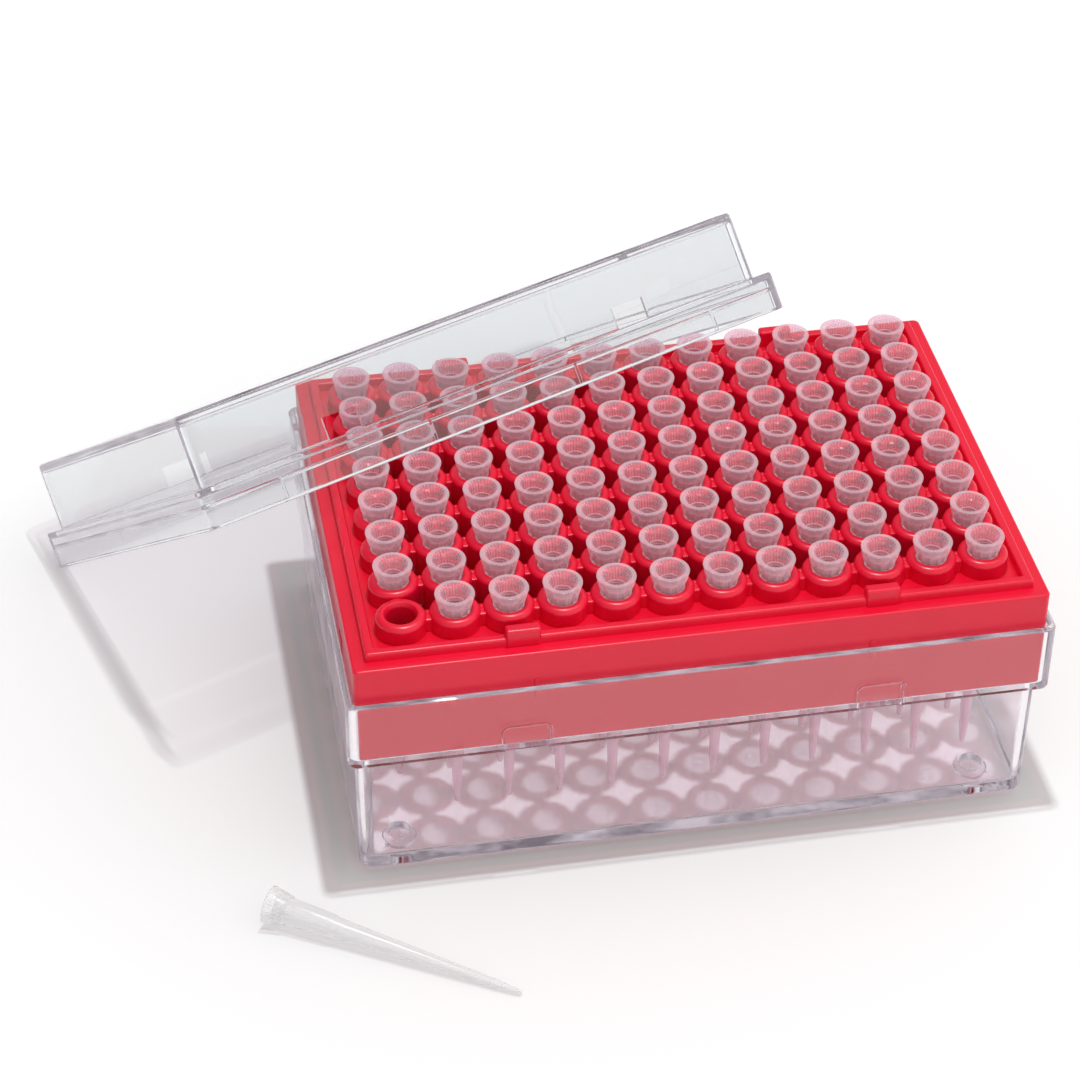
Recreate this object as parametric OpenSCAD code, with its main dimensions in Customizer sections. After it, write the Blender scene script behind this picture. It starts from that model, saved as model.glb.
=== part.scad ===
// Box of pipette tips: clear base, coloured rack with its wells, the tips that hang in them,
// one tip lying in front, and the clear lid leaning on the box.
// Origin: centre of the base's footprint, on the table. +X along the long side, +Y to the back, +Z up.

/* [Well grid] */
// Wells along the long side
columns = 12; // [8:1:12]
// Wells along the short side
rows = 8; // [6:1:8]
// Distance between neighbouring wells
pitch = 9; // [8.9:0.1:12]

/* [Rack] */
// Width of the plain strip between the end tubes and the ridge
end_strip = 0.9; // [0.3:0.05:6]
// Width of the plain strip between the side tubes and the ridge
side_strip = 1.4; // [0.3:0.05:6]
// Height of the rack's wall, from the shoulder it stands on to its flat top
rack_h = 18.6; // [12:0.1:30]
// Thickness of the rack's side walls
rack_wall = 1.6; // [1.2:0.1:2.4]
// Thickness of the rack's deck
deck_t = 1.6; // [1.2:0.1:3]
// Radius of the rack's upright corners
rack_corner_r = 1; // [0.6:0.1:1.6]
// Width of the flat border outside the raised ridge
border_w = 2.3; // [2:0.1:2.6]
// Width of the raised ridge
ridge_w = 1.8; // [1.2:0.1:2]
// Height of the raised ridge over the deck
ridge_h = 1.6; // [0.8:0.1:2.4]
// Distance of the tabs, the windows and the recesses from the rack's ends
tab_end = 28.5; // [14:0.1:34]
// Width of each tab
tab_w = 5.9; // [4:0.1:9]
// Depth of each tab, front to back
tab_d = 2.1; // [1.4:0.1:2.4]
// Height of each tab over the deck
tab_h = 3.3; // [2.2:0.1:4.5]
// How far a tab stands proud of the ridge
tab_proud = 0.2; // [0:0.1:0.4]

/* [Wells] */
// Outer diameter of a well's tube
boss_d = 8.6; // [7.4:0.1:8.7]
// Height of a well's tube over the deck
boss_h = 3.4; // [2.4:0.1:7]
// Radius of the rounded edge on top of the tube
boss_round = 0.9; // [0.2:0.1:0.9]
// Length of a well's tube below the deck
boss_skirt = 5; // [2:0.5:8]
// Clearance round the tip's body in the bore, and round its collar in the seat
well_gap = 0.15; // [0.05:0.05:0.3]
// Depth of the seat
seat_depth = 0.5; // [0.3:0.1:1]
// Width of the webs that tie neighbouring tubes along the long side
row_web_w = 2.9; // [1.6:0.1:3.4]
// Width of the webs that tie neighbouring tubes along the short side
column_web_w = 1.8; // [1.2:0.1:2.8]
// How far the webs' top lies under the tubes' top
web_drop = 0.8; // [0.2:0.1:1]

/* [Tip] */
// Length of a tip
tip_l = 46; // [38:0.5:60]
// Outer diameter of the rim
rim_d = 6.7; // [6.2:0.1:7.4]
// Length of the flared collar, from the rim to the face it sits on
collar_h = 3.6; // [2.8:0.1:5]
// Outer diameter at the lower end of the collar
collar_d = 5.2; // [5:0.1:6]
// Outer diameter of the body, just under the collar
neck_d = 4.6; // [4.2:0.1:4.8]
// Distance of the step on the body from the rim
step_s = 12.3; // [9:0.1:16]
// Outer diameter at the point
point_d = 0.9; // [0.8:0.05:1.2]
// Wall thickness of the body
tip_wall = 0.45; // [0.35:0.05:0.55]

/* [Base] */
// Wall thickness of the base
base_wall = 1.2; // [1:0.1:1.8]
// Clearance between the rack and the base's rim, each side
rack_gap = 0.3; // [0.2:0.05:0.6]
// How far the lower box stands in from the rim wall above it, at its ends
base_end_step = 1.5; // [1.2:0.05:2.8]
// How far the lower box stands in from the rim wall above it, at its long sides
base_side_step = 2.05; // [1.2:0.05:2.8]
// Clearance between the tips' points and the floor
point_gap = 3.65; // [1:0.05:8]
// Thickness of the shoulder that carries the rack
shoulder_t = 1.15; // [0.8:0.05:2]
// Height of the rim wall over the shoulder
rim_wall_h = 12; // [6:0.1:13]
// Thickness of the floor
floor_t = 2; // [1.2:0.1:3]
// Height of the feet
foot_h = 1.2; // [0.8:0.1:2]
// Outer diameter of the feet
foot_d = 6.4; // [5:0.1:8]
// Distance of the feet's centres from the outer faces of the lower box
foot_inset = 7.6; // [6:0.1:12]
// Radius of the upright corners
base_corner_r = 2.2; // [1.6:0.1:3]
// Draft of the lower box's walls
base_draft = 0.3; // [0:0.1:1.2]
// Width of the recesses in the long walls of the rim
base_recess_w = 7.5; // [6.2:0.1:10]
// Height of the recesses over the shoulder
base_recess_h = 4; // [2:0.1:5]
// Depth of the recesses
base_recess_d = 0.5; // [0.3:0.1:0.6]

/* [Lid] */
// Wall thickness of the lid
lid_wall = 1.2; // [1:0.1:1.8]
// Clearance between the rack and the lid's skirt, each side
lid_gap = 0.35; // [0.2:0.05:0.6]
// Height of the lid's skirt, from the rim to the step
lid_skirt_h = 7.1; // [5:0.1:12]
// Overall height of the lid
lid_h = 20; // [18:0.1:30]
// Thickness of the lid's plate
plate_t = 1.4; // [1:0.1:2.2]
// How far the upper part stands in from the skirt
lid_step = 2.05; // [1.8:0.05:2.8]
// Radius of the upper part's upright corners
lid_corner_r = 3; // [2:0.1:5]
// Radius of the skirt's upright corners
lid_skirt_r = 1.6; // [1.4:0.1:4]
// Draft of the upper part's walls
lid_draft = 0.5; // [0:0.1:1]
// Chamfer inside the lid's rim
lid_chamfer = 0.5; // [0.3:0.1:0.6]
// Width of the windows over the step
lid_window_w = 7; // [6.2:0.1:10]
// Height of the windows over the step
lid_window_h = 4; // [2:0.1:6]

/* [Lean of the lid] */
// Turn of the lid's long side from the box's long side
lid_yaw = 23.8; // [15:0.1:35]
// Shift of the lid along its own long side
lid_slide = -14.6; // [-30:0.1:0]
// Clearance between the leaning lid and what it leans on
lean_gap = 0.1; // [0.1:0.05:0.5]

/* [Loose tip] */
// How far the loose tip's rim lies to the left of the base
loose_left = 14.9; // [10:0.1:50]
// How far the loose tip's rim lies in front of the base
loose_front = 5.1; // [4:0.1:50]
// Direction in which the loose tip points
loose_turn = -32.5; // [-80:0.5:-20]

/* [Hidden] */
$fn = 64;
function column_name(column) = str("tip_column_", column < 10 ? "0" : "", column);
// A small overlap that makes cuts and joints clean
eps = 0.01;

// Bore and seat of a well, round the tip that hangs in it
bore_d = neck_d + 2 * well_gap;
seat_d = collar_d + 2 * well_gap;

// Plan sizes of the rack, round its wells
rack_l = (columns - 1) * pitch + boss_d + 2 * (end_strip + ridge_w + border_w);
rack_w = (rows - 1) * pitch + boss_d + 2 * (side_strip + ridge_w + border_w);
tab_x = rack_l / 2 - tab_end;

// Height of the lower box, which keeps the tips' points off the floor
tub_h = floor_t + point_gap + tip_l - collar_h + seat_depth - boss_h - rack_h - shoulder_t;

// How far a wall leans over a height, to a hundredth, so that flats and rounded corners meet exactly
function lean_in(h, draft) = round(100 * h * tan(draft)) / 100;

// Heights over the table
tub_top_z = foot_h + tub_h;
shoulder_z = tub_top_z + shoulder_t;
base_rim_z = shoulder_z + rim_wall_h;
deck_z = shoulder_z + rack_h;
boss_z = deck_z + boss_h;
seat_z = boss_z - seat_depth;
tip_rim_z = seat_z + collar_h;

// Plan sizes of the base
base_l = rack_l + 2 * (rack_gap + base_wall);
base_w = rack_w + 2 * (rack_gap + base_wall);
tub_l = base_l - 2 * base_end_step;
tub_w = base_w - 2 * base_side_step;
tub_shrink = lean_in(tub_h, base_draft);
bottom_chamfer = 1;
tub_corner_gain = 0.8;
tub_inner_r = base_corner_r - tub_corner_gain;
foot_taper = 0.8;
foot_rim_w = 1.1;
foot_bore_d = foot_d - 2 * foot_rim_w;
foot_x = tub_l / 2 - tub_shrink - foot_inset;
foot_y = tub_w / 2 - tub_shrink - foot_inset;

// Plan sizes of the lid
lid_l = rack_l + 2 * (lid_gap + lid_wall);
lid_w = rack_w + 2 * (lid_gap + lid_wall);
lid_ceiling = lid_h - plate_t;

// Snap bead and crush ribs inside the lid's skirt
bead_z = 4.1;
bead_proud = 0.3;
bead_h = 0.7;
lid_rib_w = 0.6;
lid_rib_h = 4.4;
lid_rib_spread = 15;
lid_corner_gain = 0.9;
lid_inner_r = lid_corner_r - lid_corner_gain;
// Lengths at the skirt's corners that the snap bead leaves free
long_bead_end = 5;
short_bead_end = 8;

// Bumps on the rack's walls that grip the base's rim, and the nubs on the webs
bump_proud = 0.2;
bump_h = 3.5;
bump_over_rim = 1.1;
long_side_bump_w = 1;
long_side_bump_end = 30.4;
long_side_bump_x = rack_l / 2 - long_side_bump_end;
short_side_bump_w = 2.6;
short_side_bump_end = 16.7;
short_side_bump_y = rack_w / 2 - short_side_bump_end;
nub_d = 0.9;
nub_h = 0.25;
// How deep a web runs into the tube at each of its ends
web_bite = 0.7;

// Centre of the well in a column and a row, both counted from one
function well_x(column) = (column - (columns + 1) / 2) * pitch;
function well_y(row) = (row - (rows + 1) / 2) * pitch;

// Radii and lengths along a tip
rim_r = rim_d / 2;
rim_land = 0.25;
rim_wall = 1;
neck_r = neck_d / 2;
neck_taper = 0.25;
step_drop = 0.45;
step_r = neck_r - step_drop;
step_len = 0.5;
step_lag = 0.6;
point_r = point_d / 2;
point_wall = 0.2;
point_len = 3.5;
point_flare = 0.32;
ledge_over_neck = 1.2;
ledge_s = collar_h - ledge_over_neck;
ledge_len = 0.3;
ledge_w = 0.25;

// Outline of a tip: [distance from the rim, radius]
tip_outside = [
  [0, rim_r],
  [rim_land, rim_r],
  [collar_h, collar_d / 2],
  [collar_h, neck_r],
  [step_s - step_len, neck_r - neck_taper],
  [step_s, step_r],
  [tip_l - point_len, point_r + point_flare],
  [tip_l, point_r]
];
tip_inside = [
  [tip_l, point_r - point_wall],
  [step_s + step_lag, step_r - tip_wall],
  [step_s, neck_r - neck_taper - tip_wall],
  [ledge_s + ledge_len, neck_r - tip_wall - ledge_w],
  [ledge_s, neck_r - tip_wall],
  [0, rim_r - rim_wall]
];
// Slope of the line on which a lying tip rests, from its rim to the first point that it touches
rest_slope = min([for (p = tip_outside) if (p[0] > rim_land) (rim_r - p[1]) / p[0]]);

// Lean of the lid: its far rim stands on the table and its near rim rests on the tips
lid_tilt = asin((tip_rim_z + lean_gap) / (lid_w - lid_wall + lid_chamfer));
// Horizontal direction across the lid, from its far rim to its near rim
lean_dir = [sin(lid_yaw), -cos(lid_yaw)];
// How far the far rim stands behind something at a height, when the lid's plate just clears it
function lean_reach(z) = (z * cos(lid_tilt) - lid_ceiling + lean_gap) / sin(lid_tilt);
function lean_offset(place, z) = place * lean_dir - lean_reach(z);
back_left_corner = [-rack_l / 2, rack_w / 2];
back_left_ridge = [-rack_l / 2 + border_w, rack_w / 2 - border_w];
back_left_tip = [well_x(1), well_y(rows)] - rim_r * lean_dir;
far_rim_offset = min(
  lean_offset(back_left_corner, deck_z),
  lean_offset(back_left_ridge, deck_z + ridge_h),
  lean_offset(back_left_tip, tip_rim_z)
);

// Flat rounded rectangle
module rounded_rect(l, w, r) {
  square([l - 2 * r, w], center = true);
  square([l, w - 2 * r], center = true);
  for (x = [-1, 1]) for (y = [-1, 1])
    translate([x * (l / 2 - r), y * (w / 2 - r)]) circle(r = r);
}

// Box with rounded upright corners whose walls lean outwards by the draft angle on the way up
module drafted_box(l, w, h, r, draft) {
  grow = lean_in(h, draft);
  side_x = l / 2 - r;
  side_y = w / 2 - r;
  for (x = [-side_x, side_x]) for (y = [-side_y, side_y])
    translate([x, y, 0]) cylinder(h = h, r1 = r, r2 = r + grow);
  translate([0, side_y, 0]) rotate([90, 0, 0]) linear_extrude(2 * side_y)
    polygon([[-l / 2, 0], [l / 2, 0], [l / 2 + grow, h], [-l / 2 - grow, h]]);
  translate([-side_x, 0, 0]) rotate([90, 0, 90]) linear_extrude(2 * side_x)
    polygon([[-w / 2, 0], [w / 2, 0], [w / 2 + grow, h], [-w / 2 - grow, h]]);
}

// Cutter for a wall that faces front and back, with rounded upper corners
module recess(w, h, r, depth) {
  rotate([90, 0, 0]) linear_extrude(depth, center = true) {
    translate([-w / 2, 0]) square([w, h - r]);
    translate([-w / 2 + r, 0]) square([w - 2 * r, h]);
    for (x = [-1, 1]) translate([x * (w / 2 - r), h - r]) circle(r = r);
  }
}

module base() {
  tub_bottom_l = tub_l - 2 * tub_shrink;
  tub_bottom_w = tub_w - 2 * tub_shrink;
  recess_r = 0.8;
  color([0.93, 0.93, 0.97, 0.35]) difference() {
    union() {
      translate([0, 0, foot_h]) drafted_box(tub_bottom_l - 2 * bottom_chamfer,
        tub_bottom_w - 2 * bottom_chamfer, bottom_chamfer, base_corner_r - bottom_chamfer, 45);
      translate([0, 0, foot_h + bottom_chamfer]) drafted_box(tub_bottom_l, tub_bottom_w,
        tub_h - bottom_chamfer + eps, base_corner_r, base_draft);
      translate([0, 0, tub_top_z]) linear_extrude(base_rim_z - tub_top_z)
        rounded_rect(base_l, base_w, base_corner_r);
      for (x = [-foot_x, foot_x]) for (y = [-foot_y, foot_y])
        translate([x, y, 0]) cylinder(h = foot_h + floor_t / 2, d1 = foot_d - foot_taper, d2 = foot_d);
    }
    translate([0, 0, foot_h + floor_t]) drafted_box(tub_bottom_l - 2 * base_wall,
      tub_bottom_w - 2 * base_wall, tub_h, tub_inner_r, base_draft);
    translate([0, 0, shoulder_z]) linear_extrude(rim_wall_h + 1)
      rounded_rect(base_l - 2 * base_wall, base_w - 2 * base_wall, rack_corner_r + rack_gap);
    for (x = [-tab_x, tab_x]) for (y = [-1, 1])
      translate([x, y * base_w / 2, tub_top_z - 1])
        recess(base_recess_w, shoulder_z - tub_top_z + 1 + base_recess_h, recess_r, 2 * base_recess_d);
    for (x = [-foot_x, foot_x]) for (y = [-foot_y, foot_y])
      translate([x, y, foot_h]) cylinder(h = floor_t + 1, d = foot_bore_d);
  }
}

// Tube of one well, with its bore and seat
module well_tube() {
  tube_r = boss_d / 2;
  tube_z = deck_z - deck_t - boss_skirt;
  round_steps = 3;
  rotate_extrude() polygon(concat(
    [[bore_d / 2, tube_z], [tube_r, tube_z]],
    [for (i = [0:round_steps]) let (a = 90 * i / round_steps)
      [tube_r - boss_round * (1 - cos(a)), boss_z - boss_round * (1 - sin(a))]],
    [[seat_d / 2, boss_z], [seat_d / 2, seat_z], [bore_d / 2, seat_z]]
  ));
}

// The rack's deck: a flat plate around the grid of wells
module deck() {
  grid_l = (columns - 1) * pitch;
  grid_w = (rows - 1) * pitch;
  translate([0, 0, deck_z - deck_t]) linear_extrude(deck_t) difference() {
    rounded_rect(rack_l, rack_w, rack_corner_r);
    square([grid_l, grid_w], center = true);
    for (c = [1:columns]) for (r = [1:rows]) translate([well_x(c), well_y(r)]) circle(d = seat_d);
  }
}

// Webs between neighbouring tubes
module webs() {
  web_l = pitch - boss_d + 2 * web_bite;
  web_h = boss_h + deck_t - web_drop;
  for (c = [1:columns]) for (r = [1:rows]) translate([well_x(c), well_y(r), deck_z - deck_t]) {
    if (c < columns) translate([pitch / 2 - web_l / 2, -row_web_w / 2, 0]) {
      cube([web_l, row_web_w, web_h]);
      translate([web_l / 2, nub_d / 2, web_h - eps]) cylinder(h = nub_h + eps, d = nub_d);
    }
    if (r < rows) translate([-column_web_w / 2, pitch / 2 - web_l / 2, 0])
      cube([column_web_w, web_l, web_h]);
  }
}

// Bumps on the outside of the rack's walls, just where the base's rim ends
module rack_bumps() {
  bump_z = base_rim_z + bump_over_rim - bump_h;
  for (side = [-1, 1]) for (place = [-1, 1]) {
    translate([place * long_side_bump_x - long_side_bump_w / 2,
               side * rack_w / 2 - bump_proud, bump_z])
      cube([long_side_bump_w, 2 * bump_proud, bump_h]);
    translate([side * rack_l / 2 - bump_proud,
               place * short_side_bump_y - short_side_bump_w / 2, bump_z])
      cube([2 * bump_proud, short_side_bump_w, bump_h]);
  }
}

module rack() {
  ridge_l = rack_l - 2 * border_w;
  ridge_outer_w = rack_w - 2 * border_w;
  color([0.86, 0.05, 0.13]) union() {
    translate([0, 0, shoulder_z]) linear_extrude(rack_h) difference() {
      rounded_rect(rack_l, rack_w, rack_corner_r);
      square([rack_l - 2 * rack_wall, rack_w - 2 * rack_wall], center = true);
    }
    translate([0, 0, deck_z - eps]) linear_extrude(ridge_h + eps) difference() {
      square([ridge_l, ridge_outer_w], center = true);
      square([ridge_l - 2 * ridge_w, ridge_outer_w - 2 * ridge_w], center = true);
    }
    for (x = [-tab_x, tab_x]) for (y = [-1, 1])
      translate([x - tab_w / 2, y * (ridge_outer_w / 2 + tab_proud - tab_d / 2) - tab_d / 2, deck_z - eps])
        cube([tab_w, tab_d, tab_h + eps]);
    rack_bumps();
    deck();
    webs();
    for (c = [1:columns]) for (r = [1:rows]) translate([well_x(c), well_y(r), 0]) well_tube();
  }
}

// One tip, its rim up at the origin's height and its point straight below
module pipette_tip() {
  rotate_extrude() polygon([for (p = concat(tip_outside, tip_inside)) [p[1], -p[0]]]);
}

// The tips that hang in one column of wells; the front well of the first column is empty
module tip_column(column) {
  first_row = column == 1 ? 2 : 1;
  color([0.93, 0.9, 0.91, 0.7]) for (r = [first_row:rows])
    translate([well_x(column), well_y(r), tip_rim_z]) pipette_tip();
}

// The tip that was taken out, lying in front of the box
module loose_tip() {
  rest_angle = atan(rest_slope);
  color([0.93, 0.93, 0.95, 0.7])
    translate([-base_l / 2 - loose_left, -base_w / 2 - loose_front, rim_r * cos(rest_angle)])
      rotate([0, 0, loose_turn]) rotate([0, rest_angle - 90, 0]) pipette_tip();
}

// The lid as it closes: rim at the origin's height, plate on top
module closed_lid() {
  upper_l = lid_l - 2 * lid_step;
  upper_w = lid_w - 2 * lid_step;
  upper_h = lid_h - lid_skirt_h;
  inner_l = lid_l - 2 * lid_wall;
  inner_w = lid_w - 2 * lid_wall;
  difference() {
    union() {
      linear_extrude(lid_skirt_h) rounded_rect(lid_l, lid_w, lid_skirt_r);
      translate([0, 0, lid_skirt_h - eps])
        drafted_box(upper_l, upper_w, upper_h + eps, lid_corner_r, -lid_draft);
    }
    translate([0, 0, -1]) linear_extrude(lid_skirt_h - lid_wall + 1)
      rounded_rect(inner_l, inner_w, rack_corner_r + lid_gap);
    translate([0, 0, -eps]) drafted_box(inner_l + 2 * lid_chamfer, inner_w + 2 * lid_chamfer,
      lid_chamfer + eps, rack_corner_r + lid_gap + lid_chamfer, -45);
    translate([0, 0, lid_skirt_h - lid_wall - eps])
      drafted_box(upper_l - 2 * lid_wall, upper_w - 2 * lid_wall,
        lid_ceiling - lid_skirt_h + lid_wall + eps, lid_inner_r, -lid_draft);
    for (x = [-tab_x, tab_x]) for (y = [-1, 1])
      translate([x - lid_window_w / 2, y * (upper_w / 2 - lid_wall / 2) - lid_wall, lid_skirt_h])
        cube([lid_window_w, 2 * lid_wall, lid_window_h]);
  }
  for (side = [-1, 1]) {
    for (x = [-tab_x, tab_x]) for (spread = [-lid_rib_spread, lid_rib_spread])
      translate([x + spread - lid_rib_w / 2, side * inner_w / 2 - bead_proud, lid_chamfer])
        cube([lid_rib_w, 2 * bead_proud, lid_rib_h - lid_chamfer]);
    translate([0, side * inner_w / 2, bead_z]) rotate([0, 90, 0])
      linear_extrude(inner_l - 2 * long_bead_end, center = true)
        polygon([[-bead_h / 2, side * eps], [0, -side * bead_proud], [bead_h / 2, side * eps]]);
    translate([side * inner_l / 2, 0, bead_z]) rotate([90, 0, 0])
      linear_extrude(inner_w - 2 * short_bead_end, center = true)
        polygon([[side * eps, -bead_h / 2], [-side * bead_proud, 0], [side * eps, bead_h / 2]]);
  }
}

// The lid taken off: far rim on the table, near rim on the tips, plate over the rack's corner
module lid() {
  far_rim = far_rim_offset * lean_dir + lid_slide * [cos(lid_yaw), sin(lid_yaw)];
  color([0.93, 0.93, 0.97, 0.35])
    translate([far_rim[0], far_rim[1], 0]) rotate([0, 0, lid_yaw]) rotate([-lid_tilt, 0, 0])
      translate([0, -lid_w / 2, 0]) closed_lid();
}

base();
rack();
lid();
loose_tip();
for (c = [1:columns]) tip_column(c);
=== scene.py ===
"""Looks of a box of pipette tips: a clear base and lid, a red rack of wells and the tips in it.

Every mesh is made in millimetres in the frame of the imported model, and scaled to metres at the end.
"""

import logging
import math
from dataclasses import dataclass
from enum import Enum
from functools import partial
from typing import Any, Sequence

import bmesh
import bpy
import numpy as np
from bmesh.types import BMesh, BMVert
from bpy.types import Material, Node, NodeSocket, NodeTree, Object
from mathutils import Matrix, Vector


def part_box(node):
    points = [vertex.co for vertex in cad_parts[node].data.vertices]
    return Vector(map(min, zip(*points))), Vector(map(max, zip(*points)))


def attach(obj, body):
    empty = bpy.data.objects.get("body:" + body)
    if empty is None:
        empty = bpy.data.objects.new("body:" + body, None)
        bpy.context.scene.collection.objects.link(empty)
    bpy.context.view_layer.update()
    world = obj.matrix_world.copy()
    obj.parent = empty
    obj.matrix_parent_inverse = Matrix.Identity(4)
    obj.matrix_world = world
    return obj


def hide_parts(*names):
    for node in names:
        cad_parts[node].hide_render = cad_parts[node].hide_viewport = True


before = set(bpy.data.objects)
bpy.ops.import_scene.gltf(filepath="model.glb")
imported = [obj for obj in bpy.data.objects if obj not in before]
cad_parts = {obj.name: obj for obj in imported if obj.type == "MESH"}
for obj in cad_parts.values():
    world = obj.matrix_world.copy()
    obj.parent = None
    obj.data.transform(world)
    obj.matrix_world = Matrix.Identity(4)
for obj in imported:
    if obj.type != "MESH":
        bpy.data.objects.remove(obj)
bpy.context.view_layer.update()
MM = 0.001
LOG = logging.getLogger("tip_box")
# How far in from its edge a shell's flat is closed
FLAT_IN = 6.0
# Edges that turn more than this stay sharp
CREASE_DEG = 34.0
# Say of large faces in the normals, where 50 is an even share
FLAT_WEIGHT = 80


class Slot(Enum):
    """Material slots of the record; nothing in this script reads them."""

    CLEAR = "clear_polystyrene"
    RED = "red_polypropylene"
    NATURAL = "natural_polypropylene"


# ---------------------------------------------------------------- colours and nodes


def linear(hex_colour: str) -> tuple[float, float, float, float]:
    """Turn an sRGB hex colour into a linear colour.

    Args:
        hex_colour: colour as "#RRGGBB".

    Returns:
        Linear red, green, blue and an alpha of 1.
    """
    channels = [int(hex_colour[i : i + 2], 16) / 255 for i in (1, 3, 5)]
    lin = [c / 12.92 if c <= 0.04045 else ((c + 0.055) / 1.055) ** 2.4 for c in channels]
    return (lin[0], lin[1], lin[2], 1.0)


def add_node(
    tree: NodeTree,
    kind: str,
    settings: dict[str, Any] | None = None,
    inputs: dict[str | int, Any] | None = None,
) -> Node:
    """Add a node with its settings, values and links.

    Args:
        tree: node tree that takes the node.
        kind: the node's type name.
        settings: attributes to set on the node.
        inputs: for each input's name or number a value, an output socket to link, or a node
            whose first output is linked.

    Returns:
        The new node.
    """
    node = tree.nodes.new(kind)
    for name, value in (settings or {}).items():
        setattr(node, name, value)
    for key, value in (inputs or {}).items():
        if isinstance(value, Node):
            value = value.outputs[0]
        if isinstance(value, NodeSocket):
            tree.links.new(value, node.inputs[key])
        else:
            node.inputs[key].default_value = value
    return node


def new_material(name: str) -> tuple[Material, NodeTree, Node]:
    """Make an empty node material.

    Args:
        name: the material's name.

    Returns:
        The material, its tree and its output node.
    """
    material = bpy.data.materials.new(name)
    material.use_nodes = True
    tree = material.node_tree
    tree.nodes.clear()
    return material, tree, tree.nodes.new("ShaderNodeOutputMaterial")


def add_surface(
    tree: NodeTree,
    output: Node,
    shader: Node,
    front: str,
    edge: str,
    bounced: bool = True,
) -> None:
    """End a material in a surface that lamps and bounced light pass, less where they graze it.

    Args:
        tree: the material's tree.
        output: its output node.
        shader: what the eye sees.
        front: colour that passes a surface met head on.
        edge: colour that passes a surface met at a graze.
        bounced: whether bounced light passes too.
    """
    add = partial(add_node, tree)
    path = add("ShaderNodeLightPath")
    passing = path.outputs["Is Shadow Ray"]
    if bounced:
        passing = add(
            "ShaderNodeMath", {"operation": "MAXIMUM"},
            {0: passing, 1: path.outputs["Is Diffuse Ray"]})
    graze = add("ShaderNodeLayerWeight", inputs={"Blend": 0.12})
    tint = add(
        "ShaderNodeMix", {"data_type": "RGBA"},
        {"Factor": graze.outputs["Facing"], 6: linear(front), 7: linear(edge)})
    clear = add("ShaderNodeBsdfTransparent", inputs={"Color": tint.outputs[2]})
    mixed = add("ShaderNodeMixShader", inputs={0: passing, 1: shader, 2: clear})
    tree.links.new(mixed.outputs[0], output.inputs[0])


# ---------------------------------------------------------------- finishes


@dataclass(frozen=True)
class RackPolypropylene:
    """Red polypropylene, injection moulded in a lightly spark-eroded cavity.

    It gives a satin surface with soft highlights, faint flow marks and broad shallow sinks.
    """

    colour: str = "#E70C36"
    deep_colour: str = "#DB082D"
    # Walls of 1.6 mm let a little red light through
    front: str = "#B98289"
    edge: str = "#70383F"
    roughness: float = 0.3
    ior: float = 1.49
    # Spark-eroded texture is about 0.05 mm; it is drawn at 0.3 mm so that it shows
    grain_mm: float = 0.3
    flow_mm: float = 14.0

    def build(self) -> Material:
        """Make the material.

        Returns:
            The satin red.
        """
        material, tree, output = new_material("red_polypropylene_satin")
        add = partial(add_node, tree)
        place = add("ShaderNodeTexCoord").outputs["Object"]
        flow = add(
            "ShaderNodeTexNoise",
            inputs={"Vector": place, "Scale": 1 / (self.flow_mm * MM), "Detail": 2.0})
        grain = add(
            "ShaderNodeTexNoise",
            inputs={"Vector": place, "Scale": 1 / (self.grain_mm * MM), "Detail": 1.0})
        colour = add(
            "ShaderNodeMix", {"data_type": "RGBA"},
            {"Factor": flow, 6: linear(self.deep_colour), 7: linear(self.colour)})
        gloss = add(
            "ShaderNodeMapRange",
            inputs={"Value": flow, "To Min": self.roughness - 0.05,
                "To Max": self.roughness + 0.08})
        sinks = add(
            "ShaderNodeBump", inputs={"Strength": 0.35, "Distance": 0.06 * MM, "Height": flow})
        skin = add(
            "ShaderNodeBump",
            inputs={"Strength": 0.08, "Distance": 0.01 * MM, "Height": grain, "Normal": sinks})
        shader = add(
            "ShaderNodeBsdfPrincipled",
            inputs={"Base Color": colour.outputs[2], "Roughness": gloss, "IOR": self.ior,
                "Normal": skin, "Subsurface Weight": 0.12, "Subsurface Scale": 0.6 * MM,
                "Subsurface Radius": (1.0, 0.15, 0.12)})
        add_surface(tree, output, shader, self.front, self.edge, bounced=False)
        return material


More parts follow.
